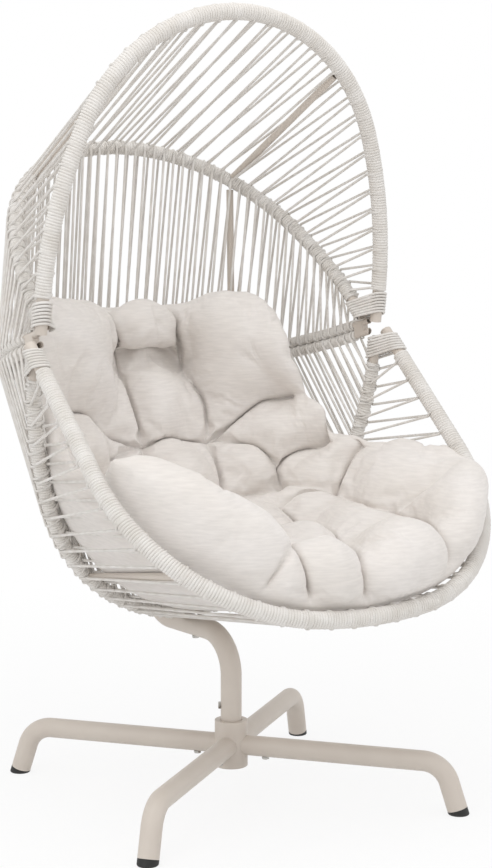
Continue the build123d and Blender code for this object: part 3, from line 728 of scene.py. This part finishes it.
# Creases of the seat's middle and front, as the filling happens to lie
seat_middle = Vector((0.155, 0.055, 0.560))
seat_side = Vector((0.205, 0.055, 0.585))
seat_fold = Vector((0.155, 0.000, 0.545))
seat_front = Vector((0.125, -0.165, 0.545))
front_fold = Vector((0.040, -0.330, 0.540))
front_ridge = Vector((-0.010, -0.420, 0.545))
front_face = Vector((-0.020, -0.445, 0.510))
front_edge = Vector((-0.010, -0.435, 0.450))
near_fold = Vector((-0.080, -0.270, 0.545))
near_ridge = Vector((-0.145, -0.395, 0.580))
near_face = Vector((-0.140, -0.435, 0.540))
near_edge = Vector((-0.130, -0.430, 0.470))
corner_face = Vector((-0.205, -0.415, 0.525))
corner_edge = Vector((-0.215, -0.380, 0.480))
pad_middle = 0.02  # the pad lies this far to the sitter's left


def across(point):
    """The same place on the other side of the pad's middle line."""
    return Vector((2 * pad_middle - point.x, point.y, point.z))


def halfway(point, rise):
    """A place on the pad's middle line, a little above a pair of tufts."""
    return Vector((pad_middle, point.y, point.z + rise))


# Each crease: the places that it runs through, and its depth as a share of a full crease
creases = [
    ((upper_back, halfway(upper_back, upper_bow), far_upper_back), 1.3),
    ((lower_back, halfway(lower_back, lower_bow), far_lower_back), 1.0),
    ((seat_rear, across(seat_rear)), 0.6),
    ((seat_middle, seat_fold, seat_front, front_fold, front_ridge, front_face, front_edge), 0.9),
    ((near_fold, near_ridge, near_face, near_edge), 1.0),
    ((near_ridge, corner_face, corner_edge), 0.5),
    ((across(knee), near_fold), 0.7),
    ((knee, knee_side, knee_ridge, knee_front, knee_edge), 1.3),
    ((upper_back, crown, crown_edge, crown_back), 1.4),
    ((far_upper_back, across(crown), across(crown_edge), across(crown_back)), 1.4),
    ((upper_back, middle_back, lower_back), 0.9),
    ((far_upper_back, far_middle_back, far_lower_back), 0.9),
]
for other, tuft in ((Vector, lower_back), (across, far_lower_back)):
    creases += [
        ((tuft, other(loin), other(seat_rear)), 0.9),
        ((tuft, other(blade), other(shoulder), other(shoulder_side), other(shoulder_edge)), 1.0),
        ((tuft, other(flank), other(flank_foot), other(hip)), 0.9),
        ((other(seat_rear), other(hip)), 0.6),
        ((other(hip), other(hip_side), other(hip_rise), other(hip_edge), other(hip_over)), 1.0),
        ((other(hip), other(side)), 0.5),
        ((other(seat_middle), other(seat_side), other(side), other(thigh), other(knee)), 0.6),
        ((other(side), other(side_rise), other(side_edge)), 0.9),
        ((other(knee), other(arm)), 0.6),
    ]
tufts = [upper_back, far_upper_back, lower_back, far_lower_back]
for tuft in (seat_rear, hip, side, knee):
    tufts += [tuft, across(tuft)]


def evaluated(piece):
    """The mesh that a piece's modifiers make."""
    bpy.context.view_layer.update()
    return bpy.data.meshes.new_from_object(piece.evaluated_get(bpy.context.evaluated_depsgraph_get()))


def place_of(mesh, attribute="co"):
    """A mesh's vertex places or normals as rows."""
    values = np.zeros(3 * len(mesh.vertices))
    mesh.vertices.foreach_get(attribute, values)
    return values.reshape(-1, 3)


def smooth_step(low, high, values):
    """0 below low, 1 above high, and an even, eased rise between."""
    part = np.clip((values - low) / (high - low), 0, 1)
    return part * part * (3 - 2 * part)


def set_places(piece, places):
    """Moves a piece's vertices."""
    piece.data.vertices.foreach_set("co", places.ravel())
    piece.data.update()


form = bmesh.new()
form.from_mesh(nodes["cushion"].data)
bmesh.ops.remove_doubles(form, verts=form.verts, dist=weld_gap)
blank = bpy.data.meshes.new("cushion_pad")
form.to_mesh(blank)
form.free()
cushion = bpy.data.objects.new("cushion_pad", blank)
bpy.context.scene.collection.objects.link(cushion)
thick = cushion.modifiers.new("thick", "DISPLACE")
thick.strength = edge_room
thick.mid_level = 0.0
grain = cushion.modifiers.new("grain", "REMESH")
grain.mode = "VOXEL"
grain.voxel_size = pad_grain
even = cushion.modifiers.new("even", "SMOOTH")
even.iterations = 40
cushion.data = evaluated(cushion)
cushion.modifiers.clear()


def upper_share():
    """How far each vertex faces the sitter, from 0 on the underside to 1."""
    inward = np.array(sitter) - place_of(cushion.data)
    inward /= np.linalg.norm(inward, axis=1)[:, None]
    return smooth_step(*facing_range, np.sum(place_of(cushion.data, "normal") * inward, axis=1))


# The pad lies a little askew: the filling has gathered along the sitter's right edge, the other edge
# has slipped down and in, and the upper lobes stand out over the bend at the rails. Each push has
# its middle, how far round that it reaches, and how it moves the pad there
for middle, reach, push in [
    (Vector((-0.385, -0.100, 0.725)), 0.18, Vector((0.020, 0.000, -0.070))),
    (Vector((-0.355, -0.250, 0.680)), 0.17, Vector((0.035, 0.015, 0.010))),
    (Vector((-0.260, -0.370, 0.610)), 0.18, Vector((0.020, 0.020, 0.055))),
    (Vector((-0.220, 0.270, 0.830)), 0.15, Vector((0.010, -0.025, 0.000))),
    (Vector((0.220, 0.270, 0.830)), 0.15, Vector((-0.010, -0.025, 0.000))),
    (Vector((0.320, 0.280, 0.940)), 0.24, Vector((-0.095, 0.000, 0.000))),
    (Vector((0.370, 0.160, 0.880)), 0.22, Vector((-0.090, 0.010, -0.010))),
    (Vector((0.380, 0.060, 0.740)), 0.18, Vector((-0.040, 0.000, -0.035))),
    (Vector((0.395, -0.120, 0.720)), 0.20, Vector((-0.005, 0.000, -0.040))),
    (Vector((0.395, -0.240, 0.680)), 0.17, Vector((0.010, 0.000, -0.045))),
]:
    spots = place_of(cushion.data)
    gap = np.linalg.norm(spots - np.array(middle), axis=1)
    set_places(cushion, spots + smooth_step(0, 1, 1 - gap / reach)[:, None] * np.array(push))


def crease_line(chain):
    """Places on the pad along a chain of points, with the chain's corners eased."""
    points = [chain[0]]
    for start, end in zip(chain, chain[1:]):
        steps = max(2, round((end - start).length / crease_step))
        points += [start.lerp(end, number / steps) for number in range(1, steps + 1)]
    for turn in range(crease_easing):
        inner = [(a + 2 * b + c) / 4 for a, b, c in zip(points, points[1:], points[2:])]
        points = [points[0]] + inner + [points[-1]]
    return [np.array(cushion.closest_point_on_mesh(point)[1]) for point in points]


def nearest(line, spots):
    """The place on a line that is nearest to each spot, and the gap between them."""
    feet = np.repeat([line[0]], len(spots), axis=0)
    gap = np.linalg.norm(spots - feet, axis=1)
    for start, end in zip(line, line[1:]):
        way = end - start
        part = np.clip((spots - start) @ way / max(way @ way, tiny), 0, 1)
        foot = start + part[:, None] * way
        length = np.linalg.norm(spots - foot, axis=1)
        nearer = length < gap
        feet[nearer] = foot[nearer]
        gap[nearer] = length[nearer]
    return feet, gap


spots = place_of(cushion.data)
facing = place_of(cushion.data, "normal")
upper = upper_share()
depth = np.zeros(len(spots))
fullness = np.ones(len(spots))
tied = np.zeros(len(spots))
drawn = np.zeros((len(spots), 3))
pull = np.zeros(len(spots))
for chain, share in creases:
    feet, gap = nearest(crease_line(chain), spots)
    part = np.clip(1 - gap / crease_width, 0, 1)
    fold = crease_depth * (1 - np.sqrt(1 - part**2)) + core_depth * np.exp(-((gap / core_width) ** 2))
    depth = np.maximum(depth, fold * share)
    fullness = np.minimum(fullness, 1 - share * (1 - smooth_step(0, crease_width, gap)))
    tied = np.maximum(tied, share * np.exp(-((gap / stitch_width) ** 2)))
    closed = share * lobe_close * gap / close_gap * np.exp(1 - gap / close_gap)
    stronger = closed > pull
    pull[stronger] = closed[stronger]
    drawn[stronger] = ((feet - spots) * (closed / np.maximum(gap, tiny))[:, None])[stronger]
for tuft in tufts:
    foot = np.array(cushion.closest_point_on_mesh(tuft)[1])
    gap = np.linalg.norm(spots - foot, axis=1)
    depth = np.maximum(depth, tie_depth * np.exp(-((gap / tie_width) ** 2)))
    tied = np.maximum(tied, np.exp(-((gap / tie_width) ** 2)))
lift = (lobe_rise * fullness - depth) * upper
set_places(cushion, spots + facing * lift[:, None] + drawn * upper[:, None])

# The cover is blown up by its filling and held at the ties and where the pad lies on the nets
held = cushion.vertex_groups.new(name="held")
for number, weight in enumerate(np.clip(np.maximum(tied, 1 - upper), 0, 1)):
    held.add([number], float(weight), "REPLACE")
before = place_of(cushion.data)
blown = cushion.modifiers.new("blown", "CLOTH")
blown.settings.quality = 4
blown.settings.mass = 0.25
blown.settings.tension_stiffness = 12
blown.settings.compression_stiffness = 12
blown.settings.bending_stiffness = 0.3
blown.settings.use_pressure = True
blown.settings.uniform_pressure_force = filling_pressure
blown.settings.shrink_min = -cover_ease
blown.settings.vertex_group_mass = "held"
blown.settings.effector_weights.gravity = 0
blown.collision_settings.use_collision = False
for moment in range(1, swell_moments + 1):
    bpy.context.scene.frame_set(moment)
swollen = place_of(evaluated(cushion))
cushion.modifiers.clear()
cushion.vertex_groups.clear()
bpy.context.scene.frame_set(1)
moved = swollen - before
length = np.linalg.norm(moved, axis=1)
moved *= np.minimum(1, swell_limit / np.maximum(length, tiny))[:, None]
set_places(cushion, before + moved)

# Along its two sides the cover is drawn smooth, out to the edges
calm = cushion.vertex_groups.new(name="calm")
from_middle = np.abs(place_of(cushion.data)[:, 0])
for number, weight in enumerate(smooth_step(*calm_sides, from_middle) * (1 - tie_hold * tied)):
    calm.add([number], float(weight), "REPLACE")
settled = cushion.modifiers.new("settled", "SMOOTH")
settled.iterations = 14
settled.vertex_group = "calm"
cushion.data = evaluated(cushion)
cushion.modifiers.clear()
cushion.vertex_groups.clear()
fine = cushion.modifiers.new("fine", "SUBSURF")
fine.levels = fine.render_levels = 1
cushion.data.shade_smooth()
cushion.data.materials.clear()
cushion.data.materials.append(make_linen())
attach(cushion, "seat")
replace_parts(cushion, "cushion")


# Stage: a plain white floor, soft light from a large overhead box and two sides, and the camera
# that stands in front of the sitter's right, a little over a metre above the floor.
camera_distance = 3.7667  # on the floor, from the swivel axis
camera_height = 1.1418
camera_side = radians(-35)  # round the chair, from straight ahead of it
camera_turn = radians(-0.45)  # off the swivel axis
camera_dip = radians(6.33)
focal_length = 79.88  # millimetres
sensor_size = 36.0  # millimetres, along the picture's height
view_depth = 50.0
camera = bpy.data.cameras.new("camera")
camera.lens = focal_length
camera.sensor_width = sensor_size
camera.clip_end = view_depth
viewer = bpy.data.objects.new("camera", camera)
viewer.location = (
    sin(camera_side) * camera_distance,
    -cos(camera_side) * camera_distance,
    camera_height,
)
viewer.rotation_euler = (pi / 2 - camera_dip, 0, camera_side + camera_turn)
bpy.context.scene.collection.objects.link(viewer)
bpy.context.scene.camera = viewer


def seen_rays(tree):
    """1 for rays that carry the background to the eye, directly or by a mirror or glass, and else 0."""
    path = add_node(tree, "ShaderNodeLightPath")
    mirrored = add_node(
        tree,
        "ShaderNodeMath",
        {0: path.outputs["Is Glossy Ray"], 1: path.outputs["Is Transmission Ray"]},
        operation="MAXIMUM",
    )
    seen = add_node(
        tree,
        "ShaderNodeMath",
        {0: path.outputs["Is Camera Ray"], 1: mirrored.outputs[0]},
        operation="MAXIMUM",
    )
    return seen.outputs[0]


def make_floor_paint():
    shadow_reach = 0.9  # from the swivel axis to where the floor starts to fade into the backdrop
    fade_reach = 2.2
    shadow_glow = 0.85  # share of the backdrop's white under the chair
    material, tree, surface = new_material("white_floor")
    surface.inputs["Base Color"].default_value = linear("#F4F4F4")
    surface.inputs["Roughness"].default_value = 0.9
    place = add_node(tree, "ShaderNodeTexCoord").outputs["Object"]
    reach = add_node(tree, "ShaderNodeVectorMath", {0: place}, operation="LENGTH")
    fade = add_node(
        tree,
        "ShaderNodeMapRange",
        {
            "Value": reach.outputs["Value"],
            "From Min": shadow_reach,
            "From Max": fade_reach,
            "To Min": shadow_glow,
        },
    )
    glow = add_node(
        tree,
        "ShaderNodeMath",
        {0: fade.outputs["Result"], 1: seen_rays(tree)},
        operation="MULTIPLY",
    )
    white = add_node(tree, "ShaderNodeEmission", {"Color": (1, 1, 1, 1), "Strength": 1.0})
    mixed = add_node(
        tree,
        "ShaderNodeMixShader",
        {0: glow.outputs[0], 1: surface.outputs["BSDF"], 2: white.outputs["Emission"]},
    )
    tree.links.new(mixed.outputs["Shader"], tree.nodes["Material Output"].inputs["Surface"])
    return material


floor_reach = 30.0  # from the swivel axis to each side
form = bmesh.new()
bmesh.ops.create_grid(form, x_segments=1, y_segments=1, size=floor_reach)
sheet = bpy.data.meshes.new("floor")
form.to_mesh(sheet)
form.free()
floor = bpy.data.objects.new("floor", sheet)
sheet.materials.append(make_floor_paint())
bpy.context.scene.collection.objects.link(floor)

room_light = 0.78  # even light from all sides
world = bpy.data.worlds.new("studio")
bpy.context.scene.world = world
world.use_nodes = True
sky = world.node_tree.nodes["Background"]
sky.inputs["Color"].default_value = (1, 1, 1, 1)
daylight = add_node(
    world.node_tree,
    "ShaderNodeMapRange",
    {"Value": seen_rays(world.node_tree), "To Min": room_light, "To Max": 1.0},
)
world.node_tree.links.new(daylight.outputs["Result"], sky.inputs["Strength"])


def softbox(name, place, target, size, power):
    """A square lamp that points at a target, with its power in watts."""
    lamp = bpy.data.lights.new(name, "AREA")
    lamp.size = size
    lamp.energy = power
    box = bpy.data.objects.new(name, lamp)
    box.location = place
    box.rotation_euler = (Vector(target) - Vector(place)).to_track_quat("-Z", "Y").to_euler()
    bpy.context.scene.collection.objects.link(box)


chair_middle = (0, 0, 0.8)
softbox("overhead_box", (-0.6, -0.8, 3.6), chair_middle, 2.6, 33)
softbox("left_box", (-3.2, -1.2, 2.0), chair_middle, 2.0, 20)
softbox("right_box", (2.4, -2.8, 1.8), chair_middle, 2.0, 12)
bpy.context.scene.view_settings.view_transform = "Standard"
